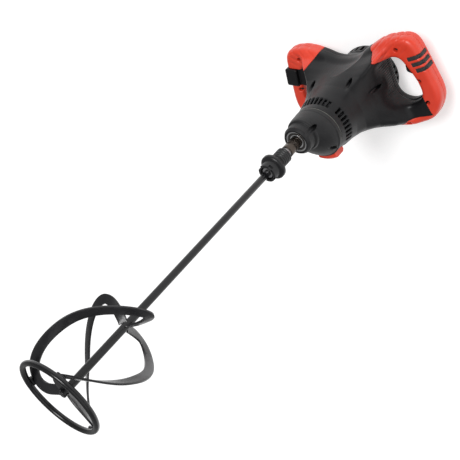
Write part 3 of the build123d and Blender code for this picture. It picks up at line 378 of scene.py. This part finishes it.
def ridge(degrees, width, rounding):
    """How far a direction shares in an arm's ridge: 1 on its crest, falling off to both sides."""
    off = (ANGLE - math.radians(degrees) + math.pi) % (2 * math.pi) - math.pi
    return np.exp(-(np.sqrt(off * off + rounding**2) - rounding) / width)


arms = np.maximum(np.maximum(ridge(41, 0.21, 0.03), ridge(139, 0.21, 0.03)),
                  np.maximum(ridge(-35, 0.24, 0.16), ridge(215, 0.24, 0.16)))
body_r = np.interp(Z, BODY_Z, BODY_R).astype(np.float32)
ridge_r = np.interp(Z, RIDGE_Z, RIDGE_R).astype(np.float32)
flare = (RADIUS - body_r - np.maximum(ridge_r - body_r, 0) * arms) * 0.62
flare = np.maximum(flare, Z - 217)

plan = outline_distance(rounded(both_sides(OUTER_HALF), 18), X, Y)
openings = np.minimum(outline_distance(rounded(HAND_OPENING, 12), X, Y),
                      outline_distance(rounded(mirrored(HAND_OPENING), 12), X, Y))
slab = rounded_slab(np.maximum(plan, -openings), 19.0, 11.0)
front_form = blend_min(slab, np.maximum(flare, plan + 2.0), 12.0)
front_form = blend_max(front_form, -openings, 7.0)
cap_seat = np.maximum(RADIUS - 60.4, np.abs(Z - 45) - 15)
rear_form = blend_min(slab, cap_seat, 3.0)

# finger ribs on the body side of both hand openings
rib_pitch = 4.8
ribs = np.maximum(openings - 1.6, np.abs((Y / rib_pitch) % 1 - 0.5) * rib_pitch - 1.2)
ribs = np.maximum(ribs, np.maximum(np.abs(X) - 92, np.abs(Y) - 36))
front_form = blend_max(front_form, -ribs, 0.8)
rear_form = blend_max(rear_form, -ribs, 0.8)

# shallow slanting creases across the upper arms
crease_lean = math.radians(38)
crease_pitch = 11.0
across_crease = Y * math.cos(crease_lean) - np.abs(X) * math.sin(crease_lean)
from_crease = ((across_crease / crease_pitch) % 1 - 0.5) * crease_pitch
on_arm = np.clip((Y - 40) / 8, 0, 1) * np.clip((138 - np.abs(X)) / 8, 0, 1)
creases = 1.1 * np.exp(-(from_crease / 1.5) ** 2) * on_arm
black = outline_distance(both_sides(BLACK_HALF), X, Y)

HANDLE_SCREWS = ((113, 56), (141, -11), (146, -56), (97, -96))
BODY_SCREWS = ((42, 31), (66, -4))


def screw_wells(places):
    wells = np.full(RADIUS.shape, 1e3, np.float32)
    for x, y in [*places, *mirrored(places)]:
        wells = np.minimum(wells, np.hypot(X - x, Y - y) - 4.2)
    return np.maximum(wells, SCREW_SEAT - Z)


# exhaust slots: four groups of eight round the collar
group = (ANGLE + math.pi / 4) % (math.pi / 2) - math.pi / 4
pitch = math.radians(9.6)
from_slot = np.abs((group / pitch) % 1 - 0.5) * pitch * RADIUS
slots = np.maximum(from_slot - 2.3, np.abs(Z - 196.5) - 7.5)
slots = np.maximum(slots, (np.abs(group) - 4 * pitch) * RADIUS)
slots = np.maximum(slots, 40 - RADIUS)
hollow = np.maximum(RADIUS - 47.4, 150 - Z)


def skin(field, name):
    """Closed surface where a field crosses zero (surface nets), in metres."""
    inside = field < 0
    total = np.zeros([n - 1 for n in field.shape], np.int8)
    corners = [(i, j, k) for i in (0, 1) for j in (0, 1) for k in (0, 1)]
    for i, j, k in corners:
        total += inside[i:i + total.shape[0], j:j + total.shape[1], k:k + total.shape[2]]
    active = (total > 0) & (total < 8)
    cells = np.argwhere(active)
    index = np.full(active.shape, -1, np.int32)
    index[active] = np.arange(len(cells))
    place = np.zeros((len(cells), 3))
    count = np.zeros(len(cells))
    for a in corners:
        for axis in range(3):
            if a[axis]:
                continue
            b = tuple(v + (n == axis) for n, v in enumerate(a))
            fa = field[tuple((cells + a).T)]
            fb = field[tuple((cells + b).T)]
            crosses = (fa < 0) != (fb < 0)
            share = np.where(crosses, fa / np.where(crosses, fa - fb, 1), 0)
            point = np.array(a) + share[:, None] * (np.array(b) - np.array(a))
            place += point * crosses[:, None]
            count += crosses
    points = (LOW + STEP * (cells + place / count[:, None])) / 1000
    quads = []
    for axis in range(3):
        u, v = (axis + 1) % 3, (axis + 2) % 3
        here = [slice(1, -1)] * 3
        ahead = list(here)
        here[axis] = slice(0, -1)
        ahead[axis] = slice(1, None)
        now, then = inside[tuple(here)], inside[tuple(ahead)]
        edges = np.argwhere(now != then)
        base = edges + [0 if n == axis else 1 for n in range(3)]
        ring = []
        for du, dv in ((0, 0), (1, 0), (1, 1), (0, 1)):
            spot = base.copy()
            spot[:, u] -= du
            spot[:, v] -= dv
            ring.append(index[tuple(spot.T)])
        ring = np.stack(ring, 1)
        flip = ~now[tuple(edges.T)]
        ring[flip] = ring[flip][:, ::-1]
        quads.append(ring)
    quads = np.concatenate(quads)
    mesh = bpy.data.meshes.new(name)
    mesh.vertices.add(len(points))
    mesh.vertices.foreach_set("co", points.ravel())
    mesh.loops.add(len(quads) * 4)
    mesh.loops.foreach_set("vertex_index", quads.ravel())
    mesh.polygons.add(len(quads))
    mesh.polygons.foreach_set("loop_start", np.arange(0, len(quads) * 4, 4))
    mesh.polygons.foreach_set("use_smooth", [True] * len(quads))
    mesh.update(calc_edges=True)
    mesh.validate()
    return mesh


SEAM = 0.12
GRIP_LEAN = 24.5
TRIGGER_CENTRE = (123.5, 11)
BLOCK_CENTRE = (-139, 20)
BLOCK_LEAN = 12.0


def grip_place(across, along):
    """A place in the right grip: across from its inner edge, along towards the upper arm."""
    lean = math.radians(GRIP_LEAN)
    return (TRIGGER_CENTRE[0] + across * math.cos(lean) - along * math.sin(lean),
            TRIGGER_CENTRE[1] + across * math.sin(lean) + along * math.cos(lean))


front = np.maximum(np.maximum(front_form, black + SEAM), SPLIT_Z + SEAM - Z)
front = blend_max(front, -slots, 0.8)
front = np.maximum(front, -hollow)
front = blend_max(front, -screw_wells(BODY_SCREWS), 1.2)
rear = np.maximum(np.maximum(rear_form, black + SEAM), Z - SPLIT_Z + SEAM)
link("front_housing_look", skin(front, "front_housing_look"), "black_plastic", "machine", "front_housing")
link("rear_housing_look", skin(rear, "rear_housing_look"), "black_plastic", "machine", "rear_housing")

stripes = np.full(RADIUS.shape, 1e3, np.float32)
for place in (-12, 1, 14):
    stripes = np.minimum(stripes, tilted(grip_place(33, place), GRIP_LEAN - 14, (17, 4.2)))
stripes = np.maximum(stripes, 44 - Z)
trigger_pocket = np.maximum(tilted(TRIGGER_CENTRE, GRIP_LEAN, (9, 16.5)), np.abs(Z - SPLIT_Z) - 8)
block_room = tilted(BLOCK_CENTRE, -BLOCK_LEAN, (60, 19.2))
wells = screw_wells(HANDLE_SCREWS)
inlet = np.maximum(np.hypot(X + 108, Z - SPLIT_Z) - 7.1, Y + 90)
halves = (("front", front_form, SPLIT_Z + SEAM - Z), ("rear", rear_form, Z - SPLIT_Z + SEAM))
for half, form, side in halves:
    grip = np.maximum(np.maximum(form + creases, SEAM - black), side)
    grip = blend_max(grip, -wells, 1.2)
    right = np.maximum(grip, 1 - X)
    right = np.maximum(right, -trigger_pocket)
    right = np.maximum(right, -np.maximum(stripes - SEAM, -(form + 1.3)))
    link(f"right_grip_{half}_look", skin(right, "right_grip"), "red_plastic", "machine", "right_grip_" + half)
    left = np.maximum(grip, X + 1)
    left = np.maximum(np.maximum(left, -block_room), -inlet)
    for level, cut in (("upper", BLOCK_CENTRE[1] - Y), ("lower", Y - BLOCK_CENTRE[1])):
        node = f"left_{level}_grip_{half}"
        link(node + "_look", skin(np.maximum(left, cut), node), "red_plastic", "machine", node)
form = np.where(Z > SPLIT_Z, front_form, rear_form)
inlay = np.maximum(np.maximum(stripes, form + 0.1), -(form + 1.3))
link("right_grip_stripes_look", skin(np.maximum(inlay, 1 - X), "stripes"), "grip_rubber", "machine",
     "right_grip_stripes")


# ---------------------------------------------------------------- pieces
for node in ("speed_block", "trigger", "gearbox_housing", "bumper_foot", "cable_bush"):
    soft(node, 0.0007, 6)
spring = crisp("chuck_spring")
for node in frame["nodes"]:
    if not frame["nodes"][node].hide_render:
        crisp(node)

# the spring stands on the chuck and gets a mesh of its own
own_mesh(spring)

# ---------------------------------------------------------------- floor, light, camera
floor_mesh = bpy.data.meshes.new("floor")
floor_shape = bmesh.new()
bmesh.ops.create_grid(floor_shape, x_segments=8, y_segments=8, size=15)
floor_shape.to_mesh(floor_mesh)
floor_shape.free()
floor = bpy.data.objects.new("floor", floor_mesh)
bpy.context.scene.collection.objects.link(floor)
floor.location.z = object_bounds()[0].z
floor_mat = surface("floor", ((0.78, 0.78, 0.78), (0.80, 0.80, 0.80), (0.78, 0.78, 0.78)),
                    (0.55, 0.65), 300, 0.0001, cloud=3.0)
# a lit table: it keeps the floor near white and lifts the undersides a little
floor_shader = floor_mat.node_tree.nodes["Principled BSDF"]
floor_shader.inputs["Emission Color"].default_value = (1.0, 1.0, 1.0, 1.0)
floor_shader.inputs["Emission Strength"].default_value = 0.46
floor_mesh.materials.append(floor_mat)

world = bpy.data.worlds.new("studio")
bpy.context.scene.world = world
world.use_nodes = True
world.node_tree.nodes["Background"].inputs["Color"].default_value = (1.0, 1.0, 1.0, 1.0)
world.node_tree.nodes["Background"].inputs["Strength"].default_value = 0.32


def soft_sun(name, towards, strength, spread):
    data = bpy.data.lights.new(name, "SUN")
    data.energy = strength
    data.angle = math.radians(spread)
    lamp = bpy.data.objects.new(name, data)
    bpy.context.scene.collection.objects.link(lamp)
    lamp.rotation_mode = "QUATERNION"
    lamp.rotation_quaternion = Vector(towards).to_track_quat("-Z", "Y")
    return lamp


soft_sun("key", (-0.25, -0.75, -1.0), 1.9, 22)
soft_sun("fill", (-0.9, 0.1, -0.8), 0.55, 60)

FORWARD = Vector((-0.682, -0.492, -0.541)).normalized()
RIGHT = Vector((0.728, -0.387, -0.566))
RIGHT = (RIGHT - FORWARD * RIGHT.dot(FORWARD)).normalized()
UP = RIGHT.cross(FORWARD)
camera_data = bpy.data.cameras.new("camera")
camera_data.lens = 61.08
camera_data.sensor_width = 36.0
camera_data.clip_start = 0.05
camera_data.clip_end = 60.0
camera = bpy.data.objects.new("camera", camera_data)
bpy.context.scene.collection.objects.link(camera)
camera.matrix_world = Matrix((
    (RIGHT.x, UP.x, -FORWARD.x, 0.881),
    (RIGHT.y, UP.y, -FORWARD.y, 0.613),
    (RIGHT.z, UP.z, -FORWARD.z, 1.207),
    (0.0, 0.0, 0.0, 1.0),
))
bpy.context.scene.camera = camera

bpy.context.scene.view_settings.view_transform = "Standard"

bpy.context.view_layer.update()
